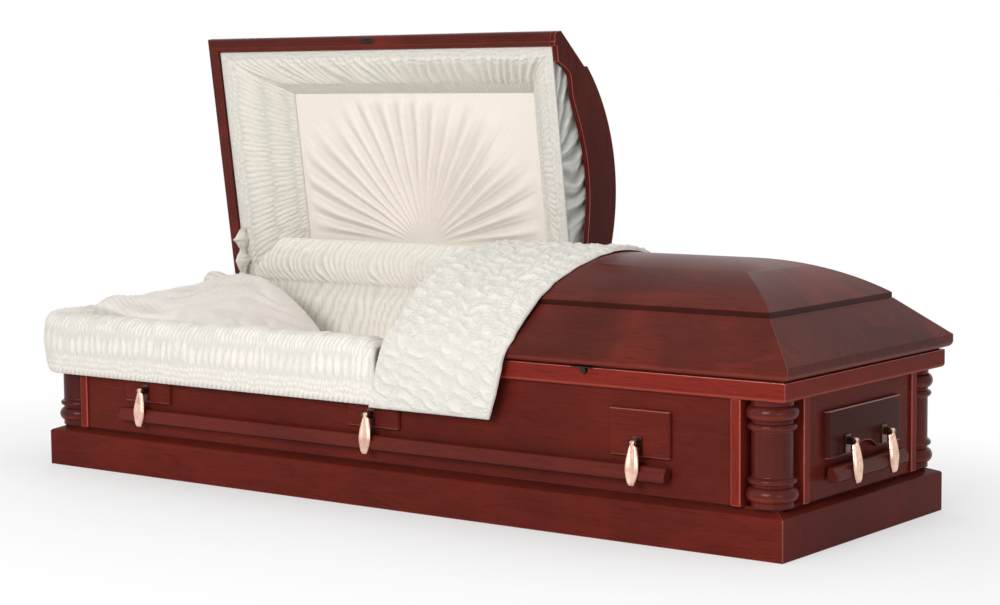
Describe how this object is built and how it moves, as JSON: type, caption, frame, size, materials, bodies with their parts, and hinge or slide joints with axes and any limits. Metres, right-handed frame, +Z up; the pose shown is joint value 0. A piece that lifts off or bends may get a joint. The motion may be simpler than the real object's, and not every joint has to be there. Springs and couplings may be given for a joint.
{
  "type": "casket",
  "caption": "Half-couch hardwood casket with a domed lid in two halves, turned corner columns, swing-bar handles and a shirred ivory lining.",
  "frame": {"origin": "centre of the underside of the base moulding, at floor level", "axes": "+X along the length towards the foot end, -Y the front side that faces the viewer, +Z up"},
  "size_m": [2.1625, 0.884, 1.0592],
  "materials": {
    "moulding_wood": "satin lacquer on reddish hardwood",
    "panel_wood": "satin lacquer on reddish hardwood",
    "post_wood": "satin lacquer on reddish hardwood",
    "plaque_wood": "satin lacquer on reddish hardwood",
    "bar_wood": "satin lacquer on reddish hardwood",
    "lid_wood": "satin lacquer on reddish hardwood",
    "ear_metal": "antiqued copper-bronze plating, darker",
    "arm_metal": "antiqued copper-bronze plating, brushed",
    "hinge_metal": "dull brass",
    "catch_metal": "dark bronze enamel",
    "mattress_cloth": "plain ivory crepe",
    "pillow_cloth": "ivory crepe with fine ribs",
    "crepe": "shirred ivory crepe",
    "satin": "pleated warm ivory satin"
  },
  "bodies": {
    "body": {"base_moulding": "moulding_wood", "bottom_board": "panel_wood", "front_panel": "panel_wood", "back_panel": "panel_wood", "head_panel": "panel_wood", "foot_panel": "panel_wood", "corner_post_head_front": "post_wood", "corner_post_head_back": "post_wood", "corner_post_foot_front": "post_wood", "corner_post_foot_back": "post_wood", "column_head_front": "post_wood", "column_head_back": "post_wood", "column_foot_front": "post_wood", "column_foot_back": "post_wood", "ledge_moulding": "moulding_wood", "front_plaque_head": "plaque_wood", "front_plaque_middle": "plaque_wood", "front_plaque_foot": "plaque_wood", "back_plaque_head": "plaque_wood", "back_plaque_middle": "plaque_wood", "back_plaque_foot": "plaque_wood", "head_plaque": "plaque_wood", "foot_plaque": "plaque_wood", "front_ears": "ear_metal", "back_ears": "ear_metal", "head_ears": "ear_metal", "foot_ears": "ear_metal", "head_hinge": "hinge_metal", "foot_hinge": "hinge_metal", "lid_catch": "catch_metal", "mattress": "mattress_cloth", "pillow": "pillow_cloth", "body_lining": "crepe", "fold_out_lining": "crepe"},
    "head_lid": {"head_lid_frame": "lid_wood", "head_lid_crown": "lid_wood", "head_lid_header": "lid_wood", "lid_border": "crepe", "lid_sunburst": "satin", "hinge_apron": "crepe", "lid_support": "pillow_cloth"},
    "foot_lid": {"foot_lid_frame": "lid_wood", "foot_lid_crown": "lid_wood", "foot_lid_header": "lid_wood", "foot_lid_lining": "crepe", "throw": "crepe"},
    "front_handle": {"front_bar": "bar_wood", "front_arm_head": "arm_metal", "front_arm_middle": "arm_metal", "front_arm_foot": "arm_metal"},
    "back_handle": {"back_bar": "bar_wood", "back_arm_head": "arm_metal", "back_arm_middle": "arm_metal", "back_arm_foot": "arm_metal"},
    "head_handle": {"head_bar": "bar_wood", "head_arm_front": "arm_metal", "head_arm_back": "arm_metal"},
    "foot_handle": {"foot_bar": "bar_wood", "foot_arm_front": "arm_metal", "foot_arm_back": "arm_metal"}
  },
  "joints": [
    {"name": "head_lid_hinge", "type": "hinge", "parent": "body", "child": "head_lid", "pos_m": [-0.494, 0.3475, 0.3585], "axis": [1, 0, 0], "range_deg": [-3, 82.2], "deforming": ["fold_out_lining"]},
    {"name": "foot_lid_hinge", "type": "hinge", "parent": "body", "child": "foot_lid", "pos_m": [0.5745, 0.3475, 0.3585], "axis": [-1, 0, 0], "range_deg": [0, 80]},
    {"name": "front_handle_swing", "type": "hinge", "parent": "body", "child": "front_handle", "pos_m": [0, -0.3575, 0.211], "axis": [-1, 0, 0], "range_deg": [0, 88]},
    {"name": "back_handle_swing", "type": "hinge", "parent": "body", "child": "back_handle", "pos_m": [0, 0.3575, 0.211], "axis": [1, 0, 0], "range_deg": [0, 88]},
    {"name": "head_handle_swing", "type": "hinge", "parent": "body", "child": "head_handle", "pos_m": [-1.0635, 0, 0.211], "axis": [0, 1, 0], "range_deg": [0, 88]},
    {"name": "foot_handle_swing", "type": "hinge", "parent": "body", "child": "foot_handle", "pos_m": [1.0635, 0, 0.211], "axis": [0, -1, 0], "range_deg": [0, 88]}
  ]
}
